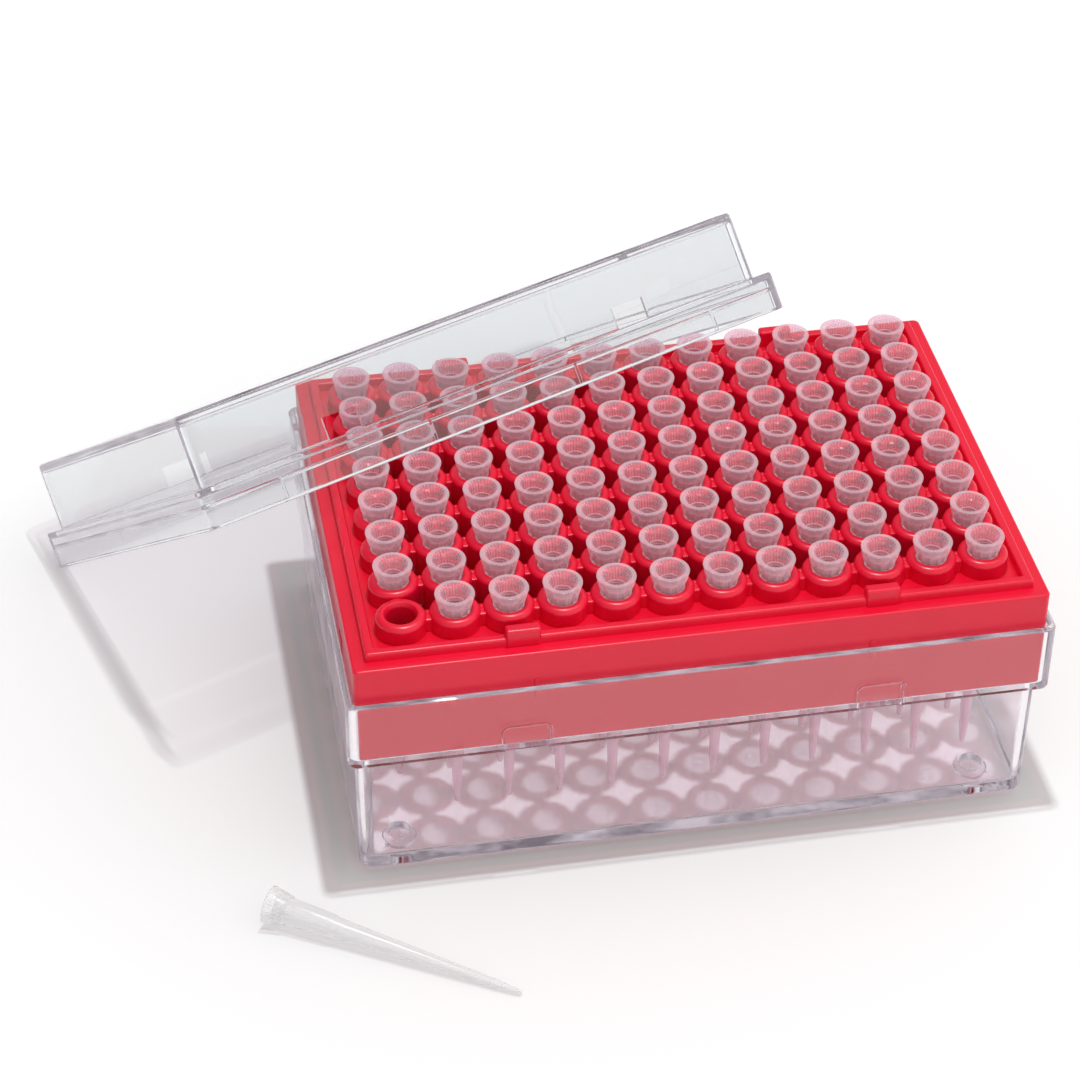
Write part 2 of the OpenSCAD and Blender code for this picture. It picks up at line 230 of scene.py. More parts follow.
@dataclass(frozen=True)
class ClearPolystyrene:
    """Crystal polystyrene from a polished mould: glass clear, a trace of lilac in its edges.

    Rays that turn inside a wall more than a few times end in a painted pale lilac grey glow with
    painted streaks, which stands in for light that runs on inside the wall and comes out at its
    edges.
    """

    name: str = "clear_polystyrene_polished"
    tint: str = "#FBF9FC"
    front: str = "#FDFBFD"
    edge: str = "#3E3A41"
    # Colours of the painted lilac grey glow at the edges, lighter and darker in painted streaks
    inner: str = "#C9BFC9"
    painted_glow_deep: str = "#746A75"
    # Length of the painted streaks in the painted glow along the edges
    painted_streak_mm: float = 7.0
    # Turns inside a wall after which a ray ends in the painted glow
    painted_glow_turns: float = 2.5
    ior: float = 1.59
    # Broad waves of the moulded walls, which only show in reflections
    wave_mm: float = 18.0

    def build(self) -> Material:
        """Make the material.

        Returns:
            The glass-clear plastic.
        """
        material, tree, output = new_material(self.name)
        add = partial(add_node, tree)
        place = add("ShaderNodeTexCoord").outputs["Object"]
        wave = add(
            "ShaderNodeTexNoise",
            inputs={"Vector": place, "Scale": 1 / (self.wave_mm * MM), "Detail": 1.0})
        bump = add(
            "ShaderNodeBump", inputs={"Strength": 0.2, "Distance": 0.05 * MM, "Height": wave})
        gloss = add("ShaderNodeMapRange", inputs={"Value": wave, "To Min": 0.0, "To Max": 0.04})
        glass = add(
            "ShaderNodeBsdfPrincipled",
            inputs={"Base Color": linear(self.tint), "Roughness": gloss, "IOR": self.ior,
                "Transmission Weight": 1.0, "Normal": bump})
        # Painted glow: a ray that has turned inside a wall more than a few times ends in a lilac grey
        # emission instead of going on
        path = add("ShaderNodeLightPath")
        ends_in_painted_glow = add(
            "ShaderNodeMath", {"operation": "GREATER_THAN"},
            {0: path.outputs["Glossy Depth"], 1: self.painted_glow_turns})
        streak = add(
            "ShaderNodeTexNoise",
            inputs={"Vector": place, "Scale": 1 / (self.painted_streak_mm * MM), "Detail": 3.0})
        spread = add(
            "ShaderNodeMapRange", inputs={"Value": streak, "From Min": 0.35, "From Max": 0.65})
        inside = add(
            "ShaderNodeMix", {"data_type": "RGBA"},
            {"Factor": spread, 6: linear(self.painted_glow_deep), 7: linear(self.inner)})
        glow = add("ShaderNodeEmission", inputs={"Color": inside.outputs[2]})
        body = add("ShaderNodeMixShader", inputs={0: ends_in_painted_glow, 1: glass, 2: glow})
        add_surface(tree, output, body, self.front, self.edge)
        return material


@dataclass(frozen=True)
class TipPolypropylene:
    """Unpigmented polypropylene: thin walls pass the light and blur it, thick ones look milky."""

    name: str = "natural_polypropylene_translucent"
    tint: str = "#FCFCFC"
    front: str = "#F6F5F6"
    edge: str = "#A29FA1"
    ior: float = 1.49
    roughness: float = 0.2
    # Share of the light that a wall keeps, met head on and at a graze
    body_front: float = 0.2
    body_edge: float = 0.85
    # Share of the kept light that goes on through, bent
    refracted: float = 0.06
    # Fine haze of the crystals, drawn coarse enough to show
    haze_mm: float = 0.8

    def build(self) -> Material:
        """Make the material.

        Returns:
            The translucent plastic.
        """
        material, tree, output = new_material(self.name)
        add = partial(add_node, tree)
        place = add("ShaderNodeTexCoord").outputs["Object"]
        haze = add(
            "ShaderNodeTexNoise",
            inputs={"Vector": place, "Scale": 1 / (self.haze_mm * MM), "Detail": 2.0})
        gloss = add(
            "ShaderNodeMapRange",
            inputs={"Value": haze, "To Min": self.roughness - 0.06,
                "To Max": self.roughness + 0.06})
        graze = add("ShaderNodeLayerWeight", inputs={"Blend": 0.35})
        body = add(
            "ShaderNodeMapRange",
            inputs={"Value": graze.outputs["Facing"], "To Min": self.body_front,
                "To Max": self.body_edge})
        shader = add(
            "ShaderNodeBsdfPrincipled",
            inputs={"Base Color": linear(self.tint), "Roughness": gloss, "IOR": self.ior,
                "Transmission Weight": self.refracted})
        through = add("ShaderNodeBsdfTransparent", inputs={"Color": linear(self.tint)})
        wall = add("ShaderNodeMixShader", inputs={0: body, 1: through, 2: shader})
        add_surface(tree, output, wall, self.front, self.edge)
        return material


@dataclass(frozen=True)
class TableTop:
    """White matt laminate, lit evenly enough that it reads as white away from the shadows."""

    lamp_foot: tuple[float, float, float]
    lamp_height: float
    box_half: tuple[float, float]
    lamp_share: float = 0.65
    # The next two give a painted pink glow under the box, which stands in for light bounced off the
    # red rack
    painted_bounce_share: float = 0.24
    painted_bounce_colour: str = "#F6D3DA"
    # Width over which the painted pink glow under the box fades out
    painted_bounce_margin: float = 4.0
    colour: str = "#F8F8F8"

    def build(self) -> Material:
        """Make the material.

        Returns:
            The laminate, which glows by as much as the lamp's light falls off over the table. Under
            the box, where only its clear walls show it, it glows a little more in a painted pink that
            stands in for light bounced off the red rack.
        """
        material, tree, output = new_material("white_laminate")
        add = partial(add_node, tree)
        place = add("ShaderNodeTexCoord").outputs["Object"]
        reach = add(
            "ShaderNodeVectorMath", {"operation": "DISTANCE"},
            {0: place, 1: tuple(v * MM for v in self.lamp_foot)})
        slope = add(
            "ShaderNodeMath", {"operation": "DIVIDE"},
            {0: reach.outputs["Value"], 1: self.lamp_height * MM})
        spread = add("ShaderNodeMath", {"operation": "MULTIPLY_ADD"}, {0: slope, 1: slope, 2: 1.0})
        left = add("ShaderNodeMath", {"operation": "POWER"}, {0: spread, 1: -2.0})
        lift = add(
            "ShaderNodeMath", {"operation": "MULTIPLY_ADD"},
            {0: left, 1: -self.lamp_share, 2: self.lamp_share})
        axes = add("ShaderNodeSeparateXYZ", inputs={0: place})
        # Mask of the box's footprint, where the laminate gets the painted pink glow
        under = 1.0
        for axis, half in zip("XY", self.box_half):
            off = add("ShaderNodeMath", {"operation": "ABSOLUTE"}, {0: axes.outputs[axis]})
            inside = add(
                "ShaderNodeMapRange", {"interpolation_type": "SMOOTHSTEP"},
                {"Value": off, "From Min": (half - self.painted_bounce_margin) * MM, "From Max": half * MM,
                    "To Min": 1.0, "To Max": 0.0})
            under = add("ShaderNodeMath", {"operation": "MULTIPLY"}, {0: inside, 1: under})
        lift = add(
            "ShaderNodeMath", {"operation": "MULTIPLY_ADD"}, {0: under, 1: self.painted_bounce_share, 2: lift})
        # Colour of the glow: white, and the painted pink under the box
        painted_bounce_hue = add(
            "ShaderNodeMix", {"data_type": "RGBA"},
            {"Factor": under, 6: (1, 1, 1, 1), 7: linear(self.painted_bounce_colour)})
        path = add("ShaderNodeLightPath")
        seen = add(
            "ShaderNodeMath", {"operation": "MAXIMUM"},
            {0: path.outputs["Is Camera Ray"], 1: path.outputs["Is Transmission Ray"]})
        seen = add(
            "ShaderNodeMath", {"operation": "MAXIMUM"}, {0: seen, 1: path.outputs["Is Glossy Ray"]})
        strength = add("ShaderNodeMath", {"operation": "MULTIPLY"}, {0: lift, 1: seen})
        matt = add("ShaderNodeBsdfDiffuse", inputs={"Color": linear(self.colour)})
        glow = add("ShaderNodeEmission", inputs={"Color": painted_bounce_hue.outputs[2], "Strength": strength})
        both = add("ShaderNodeAddShader", inputs={0: matt, 1: glow})
        tree.links.new(both.outputs[0], output.inputs[0])
        return material


# ---------------------------------------------------------------- meshes


def link_object(name: str, data: Any) -> Object:
    """Make an object of a mesh, a lamp or a camera, and link it to the scene.

    Args:
        name: the object's name.
        data: the mesh, lamp or camera.

    Returns:
        The object.
    """
    obj = bpy.data.objects.new(name, data)
    bpy.context.scene.collection.objects.link(obj)
    return obj


def merge(bm: BMesh, other: BMesh) -> None:
    """Copy another mesh into this one, and free it.

    Args:
        bm: the mesh that grows.
        other: the mesh that is copied.
    """
    part = bpy.data.meshes.new("part")
    other.to_mesh(part)
    other.free()
    bm.from_mesh(part)
    bpy.data.meshes.remove(part)


def four_places(away: float) -> list[tuple[float, int]]:
    """List four places: each one's distance from the middle, and its side, -1 or 1."""
    return [(place, side) for place in (-away, away) for side in (-1, 1)]


def packed_points(node: str) -> np.ndarray:
    """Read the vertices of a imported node's mesh, in metres.

    Args:
        node: the node's name.

    Returns:
        One row of x, y and z for each vertex.
    """
    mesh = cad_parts[node].data
    points = np.empty(len(mesh.vertices) * 3)
    mesh.vertices.foreach_get("co", points)
    return points.reshape(-1, 3)


def bridge(bm: BMesh, ring: Sequence[BMVert], other: Sequence[BMVert]) -> None:
    """Join two closed rings of as many vertices by a band of faces.

    Args:
        bm: the mesh that takes the faces.
        ring: the first ring.
        other: the second ring.
    """
    for k in range(len(ring)):
        n = (k + 1) % len(ring)
        bm.faces.new((ring[k], ring[n], other[n], other[k]))


def finish_mesh(name: str, bm: BMesh, material: Material | None = None) -> Object:
    """Turn a closed mesh in millimetres into an object in metres, smooth but for its creases.

    Args:
        name: the object's name.
        bm: the mesh, which is freed.
        material: the finish, or None for a part that is only instanced.

    Returns:
        The object, linked to the scene.
    """
    bmesh.ops.remove_doubles(bm, verts=bm.verts, dist=1e-4)
    bmesh.ops.recalc_face_normals(bm, faces=bm.faces)
    bm.transform(Matrix.Scale(MM, 4))
    mesh = bpy.data.meshes.new(name)
    bm.to_mesh(mesh)
    bm.free()
    mesh.shade_smooth()
    mesh.set_sharp_from_angle(angle=math.radians(CREASE_DEG))
    if material is not None:
        mesh.materials.append(material)
    return link_object(name, mesh)


def bake_modifiers(obj: Object) -> None:
    """Apply every modifier of an object to its mesh, and remove them.

    Args:
        obj: the object.
    """
    bpy.context.view_layer.update()
    seen = obj.evaluated_get(bpy.context.evaluated_depsgraph_get())
    mesh = bpy.data.meshes.new_from_object(seen, depsgraph=bpy.context.evaluated_depsgraph_get())
    old = obj.data
    obj.modifiers.clear()
    obj.data = mesh
    bpy.data.meshes.remove(old)
    mesh.name = obj.name


def weigh_normals(obj: Object) -> None:
    """Let the large faces of an object set its normals, so that flats shade flat.

    Args:
        obj: the object.
    """
    modifier = obj.modifiers.new("weigh", "WEIGHTED_NORMAL")
    modifier.keep_sharp = True
    modifier.weight = FLAT_WEIGHT
    bake_modifiers(obj)


def combine(obj: Object, other: Object, operation: str) -> None:
    """Join another closed object to this one, or cut it out, and remove it.

    Args:
        obj: the object that changes.
        other: the tool.
        operation: UNION or DIFFERENCE.
    """
    modifier = obj.modifiers.new("combine", "BOOLEAN")
    modifier.operation = operation
    modifier.solver = "EXACT"
    modifier.object = other
    bake_modifiers(obj)
    bpy.data.objects.remove(other)


@dataclass(frozen=True)
class Corner:
    """A corner of a shell's section, which a ring of the shell passes through.

    inset is the distance inside the shell's outer faces, z the height, radius the ring's own
    corner radius seen from above, fillet the length that the section's rounding takes, and side
    what the long sides stand in more than the ends.
    """

    inset: float
    z: float
    radius: float
    fillet: float = 0.0
    side: float = 0.0


def round_section(corners: Sequence[Corner], closed: bool, steps: int = 4) -> list[Corner]:
    """Round the corners of a section.

    Args:
        corners: the section's corners, in order.
        closed: whether the last corner joins the first.
        steps: segments in each rounding.

    Returns:
        The rounded section.
    """
    made: list[Corner] = []
    count = len(corners)
    for i, corner in enumerate(corners):
        if corner.fillet <= 0 or (not closed and i in (0, count - 1)):
            made.append(corner)
            continue
        here = Vector((corner.inset, corner.z, corner.radius, corner.side))
        ends = []
        for other in (corners[i - 1], corners[(i + 1) % count]):
            way = Vector((other.inset, other.z, other.radius, other.side)) - here
            flat = math.hypot(way.x, way.y)
            ends.append(here + way * min(0.49, corner.fillet / flat))
        for k in range(steps + 1):
            t = k / steps
            point = ends[0] * (1 - t) ** 2 + here * (2 * t * (1 - t)) + ends[1] * t**2
            made.append(Corner(point.x, point.y, point.z, side=point.w))
    return made


def rounded_ring(
    half_l: float, half_w: float, radius: float, arc_steps: int
) -> list[tuple[float, float]]:
    """Points of a rounded rectangle, counter-clockwise.

    Args:
        half_l: half its length.
        half_w: half its width.
        radius: radius of its corners.
        arc_steps: segments in each corner.

    Returns:
        The points' x and y.
    """
    points = []
    for quarter, (sx, sy) in enumerate(((1, 1), (-1, 1), (-1, -1), (1, -1))):
        for k in range(arc_steps + 1):
            angle = math.radians(90 * (quarter + k / arc_steps))
            points.append(
                (sx * (half_l - radius) + radius * math.cos(angle),
                 sy * (half_w - radius) + radius * math.sin(angle))
            )
    return points


def loft(
    length: float,
    width: float,
    corners: Sequence[Corner],
    closed: bool,
    arc_steps: int = 8,
) -> BMesh:
    """Carry a section round a rounded rectangle.

    Args:
        length: overall length of the shell.
        width: overall width of the shell.
        corners: the section.
        closed: True for a frame with a hole through it, False for a shell closed by two flats.
        arc_steps: segments in each upright corner.

    Returns:
        The closed mesh.
    """
    bm = bmesh.new()
    rings = []
    for station in round_section(corners, closed):
        radius = max(station.radius, 0.05)
        half_w = width / 2 - station.inset - station.side
        ring = rounded_ring(length / 2 - station.inset, half_w, radius, arc_steps)
        rings.append([bm.verts.new((x, y, station.z)) for x, y in ring])
    pairs = list(zip(rings, rings[1:] + rings[:1]))
    for low, high in pairs if closed else pairs[:-1]:
        bridge(bm, low, high)
    if not closed:
        bm.faces.new(rings[0])
        bm.faces.new(rings[-1])
    return bm


def add_block(
    bm: BMesh,
    low: Sequence[float],
    high: Sequence[float],
    bevel: float = 0.0,
    segments: int = 3,
) -> None:
    """Add a block with rounded edges to a mesh.

    Args:
        bm: the mesh.
        low: the block's lowest corner.
        high: the block's highest corner.
        bevel: width of the rounding.
        segments: segments in the rounding.
    """
    size = Vector(high) - Vector(low)
    middle = (Vector(high) + Vector(low)) / 2
    place = Matrix.Translation(middle) @ Matrix.Diagonal((*size, 1))
    made = bmesh.ops.create_cube(bm, size=1, matrix=place)["verts"]
    if bevel > 0:
        edges = list({e for v in made for e in v.link_edges})
        bmesh.ops.bevel(
            bm, geom=edges, offset=bevel, segments=segments, affect="EDGES", profile=0.5)


def level_ring(bm: BMesh, radius: float, z: float, count: int) -> list[BMVert]:
    """Add a level ring of vertices round the Z axis.

    Args:
        bm: the mesh that takes them.
        radius: the ring's radius.
        z: its height.
        count: how many vertices it has.

    Returns:
        The vertices.
    """
    turns = [2 * math.pi * k / count for k in range(count)]
    return [bm.verts.new((radius * math.cos(turn), radius * math.sin(turn), z)) for turn in turns]


def spin(bm: BMesh, section: Sequence[tuple[float, float]], segments: int) -> None:
    """Turn a closed section, given as (radius, z), round the Z axis.

    Args:
        bm: the mesh that takes the solid.
        section: the section's points, in order.
        segments: segments of the turn.
    """
    rings = [level_ring(bm, radius, z, segments) for radius, z in section]
    for inner, outer in zip(rings, rings[1:] + rings[:1]):
        bridge(bm, inner, outer)


# ---------------------------------------------------------------- geometry nodes


def grow(obj: Object, tree: NodeTree, values: dict[str, Any]) -> None:
    """Shape an object's mesh with a geometry tree.

    Args:
        obj: the object, which is left without a modifier.
        tree: the tree.
        values: the tree's inputs, by name.
    """
    modifier = obj.modifiers.new("grow", "NODES")
    modifier.node_group = tree
    for item in tree.interface.items_tree:
        if item.item_type == "SOCKET" and item.in_out == "INPUT" and item.name in values:
            modifier[item.identifier] = values[item.name]
    bake_modifiers(obj)


def geometry_tree(name: str, inputs: dict[str, tuple[str, Any]]) -> tuple[NodeTree, Node]:
    """Start a geometry tree with named inputs.

    Args:
        name: the tree's name.
        inputs: each input's socket type and default, or None for no default.

    Returns:
        The tree and its group input node.
    """
    tree = bpy.data.node_groups.new(name, "GeometryNodeTree")
    tree.interface.new_socket("Geometry", in_out="INPUT", socket_type="NodeSocketGeometry")
    for label, (kind, default) in inputs.items():
        socket = tree.interface.new_socket(label, in_out="INPUT", socket_type=kind)
        if default is not None:
            socket.default_value = default
    tree.interface.new_socket("Geometry", in_out="OUTPUT", socket_type="NodeSocketGeometry")
    return tree, tree.nodes.new("NodeGroupInput")


def close_tree(tree: NodeTree, group: Node, geometry: NodeSocket) -> None:
    """End a geometry tree in Realize Instances and Set Material.

    Args:
        tree: the tree.
        group: its group input, which has a Material.
        geometry: what the tree has made.
    """
    add = partial(add_node, tree)
    real = add("GeometryNodeRealizeInstances", inputs={0: geometry})
    dressed = add(
        "GeometryNodeSetMaterial", inputs={"Geometry": real, "Material": group.outputs["Material"]})
    add("NodeGroupOutput", inputs={0: dressed})


# ---------------------------------------------------------------- the well grid


@dataclass(frozen=True)
class WellGrid:
    """Where the wells are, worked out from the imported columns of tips."""

    columns: int
    rows: int
    pitch: float
    tip_rim_z: float
    rim_d: float

    @classmethod
    def from_frame(cls) -> "WellGrid":
        """Read the grid from the boxes of the first and last column of tips.

        Returns:
            The grid, in millimetres.
        """
        names = sorted(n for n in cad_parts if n.startswith("tip_column_"))
        first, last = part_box(names[0]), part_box(names[-1])
        pitch = (last[0][0] - first[0][0]) / (len(names) - 1) / MM
        rim_d = (last[1][0] - last[0][0]) / MM
        rows = round(((last[1][1] - last[0][1]) / MM - rim_d) / pitch) + 1
        return cls(len(names), rows, pitch, last[1][2] / MM, rim_d)

    def x(self, column: int) -> float:
        """Middle of a column, counted from 0."""
        return (column - (self.columns - 1) / 2) * self.pitch

    def y(self, row: int) -> float:
        """Middle of a row, counted from 0 at the front."""
        return (row - (self.rows - 1) / 2) * self.pitch


# ---------------------------------------------------------------- base


@dataclass
class Base:
    """The clear base: a tub on four feet, a shoulder and a rim wall, all one moulding."""

    finish: Material
    wall: float = 1.2
    end_step: float = 1.5
    side_step: float = 2.05
    tub_top: float = 26.6
    shoulder: float = 27.75
    draft_deg: float = 0.3
    foot_h: float = 1.2
    foot_d: float = 6.4
    foot_pit_d: float = 4.2
    foot_inset: float = 7.6
    floor_z: float = 3.2
    recess_x: float = 30.3
    recess_w: float = 7.5
    recess_h: float = 4.0
    recess_d: float = 0.5
    recess_r: float = 0.8
    recess_slant: float = 0.3
    bead_r: float = 0.26
    # How far the beads' feet stand in the shoulder
    bead_sunk: float = 0.4

    def section(self, rim_z: float) -> list[Corner]:
        """Section of the shell, from the middle of its underside to the middle of its floor.

        Args:
            rim_z: height of the rim wall's top.

        Returns:
            The section's corners, in order.
        """
        shrink = (self.tub_top - self.foot_h) * math.tan(math.radians(self.draft_deg))
        low = self.end_step + shrink
        extra = self.side_step - self.end_step
        return [
            Corner(low + FLAT_IN, self.foot_h, 0.3, side=extra),
            Corner(low, self.foot_h, 2.2, 1.1, extra),
            Corner(self.end_step, self.tub_top, 2.4, 0.25, extra),
            Corner(0, self.tub_top, 1.8, 0.45),
            Corner(0, rim_z, 1.8, 0.4),
            Corner(self.wall, rim_z, 1.3, 0.4),
            Corner(self.wall, self.shoulder, 1.3, 0.3),
            Corner(self.end_step + self.wall, self.shoulder, 1.6, 0.3, extra),
            Corner(low + self.wall, self.floor_z, 1.4, 1.2, extra),
            Corner(low + self.wall + FLAT_IN, self.floor_z, 0.3, side=extra),
        ]

    def build(self) -> Object:
        """Make the base.

        Returns:
            The finished piece.
        """
        low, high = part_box("base")
        length, width = [(high[i] - low[i]) / MM for i in (0, 1)]
        shell = loft(length, width, self.section(high[2] / MM), closed=False)
        base = finish_mesh("base_tub", shell, self.finish)
        self.add_feet(base, length, width)
        self.cut_recesses(base, width)
        weigh_normals(base)
        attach(base, "root")
        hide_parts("base")
        return base

    def add_feet(self, base: Object, length: float, width: float) -> None:
        """Add the four feet and sink the pits inside them.

        Args:
            base: the tub.
            length: overall length.
            width: overall width.
        """
        shrink = (self.tub_top - self.foot_h) * math.tan(math.radians(self.draft_deg))
        foot_x = length / 2 - self.end_step - shrink - self.foot_inset
        foot_y = width / 2 - self.side_step - shrink - self.foot_inset
        top = (self.foot_h + self.floor_z) / 2
        # Sections start a hair off their axis, and the doubles are then merged into a pole
        core, r, edge = 0.02, self.foot_d / 2, 0.35
        foot = [(core, 0), (r - 0.4 - edge, 0), (r - 0.4, edge * 0.6), (r, top), (core, top)]
        pit_r = self.foot_pit_d / 2
        pit = [(core, self.foot_h), (pit_r - 0.5, self.foot_h), (pit_r - 0.12, self.foot_h + 0.15),
               (pit_r, self.foot_h + 0.6), (pit_r, self.floor_z - 0.2),
               (pit_r + 0.25, self.floor_z + 0.02), (pit_r + 0.3, self.floor_z + 1),
               (core, self.floor_z + 1)]
        for section, operation in ((foot, "UNION"), (pit, "DIFFERENCE")):
            tool = bmesh.new()
            for x in (-foot_x, foot_x):
                for y in (-foot_y, foot_y):
                    one = bmesh.new()
                    spin(one, section, 40)
                    bmesh.ops.remove_doubles(one, verts=one.verts, dist=0.03)
                    one.transform(Matrix.Translation((x, y, 0)))
                    merge(tool, one)
            combine(base, finish_mesh("feet_tool", tool), operation)

    def arch(self, grow: float) -> list[tuple[float, float]]:
        """Points of a recess's rounded top, from right to left.

        Args:
            grow: how far outside the recess's own outline they lie.

        Returns:
            Each point's distance from the recess's middle, and its height.
        """
        reach = self.recess_r + grow
        turn_x = self.recess_w / 2 - self.recess_r
        turn_z = self.shoulder + self.recess_h - self.recess_r
        points = []
        for start, mid in ((0, turn_x), (90, -turn_x)):
            for k in range(7):
                angle = math.radians(start + 15 * k)
                points.append((mid + reach * math.cos(angle), turn_z + reach * math.sin(angle)))
        return points

    def cut_recesses(self, base: Object, width: float) -> None:
        """Cut the recesses in the rim's long walls, open below, with rounded upper corners.

        Args:
            base: the tub.
            width: width of the rim outside.
        """
        tool = bmesh.new()
        foot = self.tub_top - 1
        half = self.recess_w / 2
        for x, side in four_places(self.recess_x):
            rings = []
            for out in (-1, 1):
                y = side * (width / 2 + out * self.recess_d)
                grow = out * self.recess_slant
                outline = [(-half - grow, foot), (half + grow, foot), *self.arch(grow)]
                rings.append([tool.verts.new((x + u, y, z)) for u, z in outline])
                tool.faces.new(rings[-1])
            bridge(tool, *rings)
        bmesh.ops.recalc_face_normals(tool, faces=tool.faces)
        combine(base, finish_mesh("recess_tool", tool), "DIFFERENCE")
        combine(base, self.recess_beads(width), "UNION")

    def recess_beads(self, width: float) -> Object:
        """Make the thin beads that frame the recesses.

        Args:
            width: width of the rim outside.

        Returns:
            All four beads, each a thin rod along the edge of its recess.
        """
        bm = bmesh.new()
        half = self.recess_w / 2 + self.recess_slant
        foot = self.shoulder - self.bead_sunk
        outline = [(half, foot), *self.arch(self.recess_slant), (-half, foot)]
        path = [Vector((u, 0, z)) for u, z in outline]
        turns = [2 * math.pi * n / 8 for n in range(8)]
        for x, side in four_places(self.recess_x):
            place = Vector((x, side * width / 2, 0))
            rings = []
            for k, point in enumerate(path):
                along = (path[min(k + 1, len(path) - 1)] - path[max(k - 1, 0)]).normalized()
                out = along.cross(Vector((0, 1, 0)))
                ring = []
                for turn in turns:
                    away = out * math.cos(turn) + Vector((0, math.sin(turn), 0))
                    ring.append(bm.verts.new(place + point + away * self.bead_r))
                rings.append(ring)
            for one, two in zip(rings, rings[1:]):
                bridge(bm, one, two)
            bm.faces.new(rings[0])
            bm.faces.new(rings[-1])
        bmesh.ops.recalc_face_normals(bm, faces=bm.faces)
        return finish_mesh("bead_tool", bm)


# ---------------------------------------------------------------- lid


@dataclass
class Lid:
    """The clear lid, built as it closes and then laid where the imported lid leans."""

    finish: Material
    wall: float = 1.2
    step: float = 2.05
    skirt_h: float = 7.1
    plate_t: float = 1.4
    draft_deg: float = 0.5
    chamfer: float = 0.5
    bead_z: float = 4.1
    bead_h: float = 0.7
    bead_proud: float = 0.3
    window_x: float = 30.3
    window_w: float = 7.0
    window_h: float = 4.0
    rib_spread: float = 15.0
    rib_w: float = 0.6
    rib_d: float = 0.35
    rib_h: float = 4.4

    def resting_place(self) -> tuple[Matrix, Vector]:
        """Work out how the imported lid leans.

        Returns:
            The turn and move from the closed lid's frame, in millimetres, and the lid's size.
        """
        # Large faces that look up give a rough lean, and the flat of the top then the exact one
        triangles = [(p.normal.copy(), p.area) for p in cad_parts["lid"].data.polygons]
        up = Vector((0, 0, 0))
        for normal, area in triangles:
            if normal.z > 0.3:
                up += normal * area**4
        up.normalize()
        flat = sum((n * a for n, a in triangles if n.dot(up) > 0.9999), Vector((0, 0, 0)))
        up = flat.normalized()
        along = Vector((0, 0, 1)).cross(up).normalized()
        if along.x < 0:
            along = -along
        across = up.cross(along)
        turn = Matrix((along, across, up)).transposed()
        local = packed_points("lid") / MM @ np.array(turn)
        low, high = local.min(axis=0), local.max(axis=0)
        start = Vector(((low[0] + high[0]) / 2, (low[1] + high[1]) / 2, low[2]))
        return turn.to_4x4() @ Matrix.Translation(start), Vector(high - low)

    def section(self, height: float) -> list[Corner]:
        """Section of the shell, from the middle of its top to the middle of its ceiling.

        Args:
            height: overall height of the closed lid.

        Returns:
            The section's corners, in order.
        """
        ceiling = height - self.plate_t
        lean = math.tan(math.radians(self.draft_deg))
        top = self.step + (height - self.skirt_h) * lean
        inner_top = self.step + self.wall + (ceiling - self.skirt_h + self.wall) * lean
        ledge = self.skirt_h - self.wall
        return [
            Corner(top + FLAT_IN, height, 0.3),
            Corner(top, height, 2.9, 0.9),
            Corner(self.step, self.skirt_h, 3.0, 0.25),
            Corner(0, self.skirt_h, 1.6, 0.45),
            Corner(0, 0, 1.6, 0.3),
            Corner(self.wall - self.chamfer, 0, 1.8, 0.15),
            Corner(self.wall, self.chamfer, 1.35, 0.15),
            Corner(self.wall, self.bead_z - self.bead_h / 2, 1.35, 0.1),
            Corner(self.wall + self.bead_proud, self.bead_z, 1.2, 0.15),
            Corner(self.wall, self.bead_z + self.bead_h / 2, 1.35, 0.1),
            Corner(self.wall, ledge, 1.35, 0.3),
            Corner(self.step + self.wall, ledge, 2.1, 0.3),
            Corner(inner_top, ceiling, 2.0, 0.8),
            Corner(inner_top + FLAT_IN, ceiling, 0.3),
        ]

    def build(self) -> Object:
        """Make the lid.

        Returns:
            The finished piece.
        """
        place, size = self.resting_place()
        shell = loft(size.x, size.y, self.section(size.z), closed=False)
        lid = finish_mesh("lid_shell", shell, self.finish)
        ribs = bmesh.new()
        windows = bmesh.new()
        for x, side in four_places(self.window_x):
            face = side * (size.y / 2 - self.wall)
            for mid in (x - self.rib_spread, x + self.rib_spread):
                add_block(ribs, (mid - self.rib_w / 2, face - self.rib_d, self.chamfer),
                          (mid + self.rib_w / 2, face + self.rib_d, self.rib_h),
                          bevel=0.12, segments=2)
            wall_y = side * (size.y / 2 - self.step - self.wall / 2)
            half, through = self.window_w / 2, 1.5
            add_block(windows, (x - half, wall_y - through, self.skirt_h + 0.01),
                      (x + half, wall_y + through, self.skirt_h + self.window_h))
        combine(lid, finish_mesh("rib_tool", ribs), "UNION")
        combine(lid, finish_mesh("window_tool", windows), "DIFFERENCE")
        weigh_normals(lid)
        metres = place.copy()
        metres.translation = place.translation * MM
        lid.data.transform(metres)
        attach(lid, "root")
        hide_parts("lid")
        return lid


# ---------------------------------------------------------------- rack


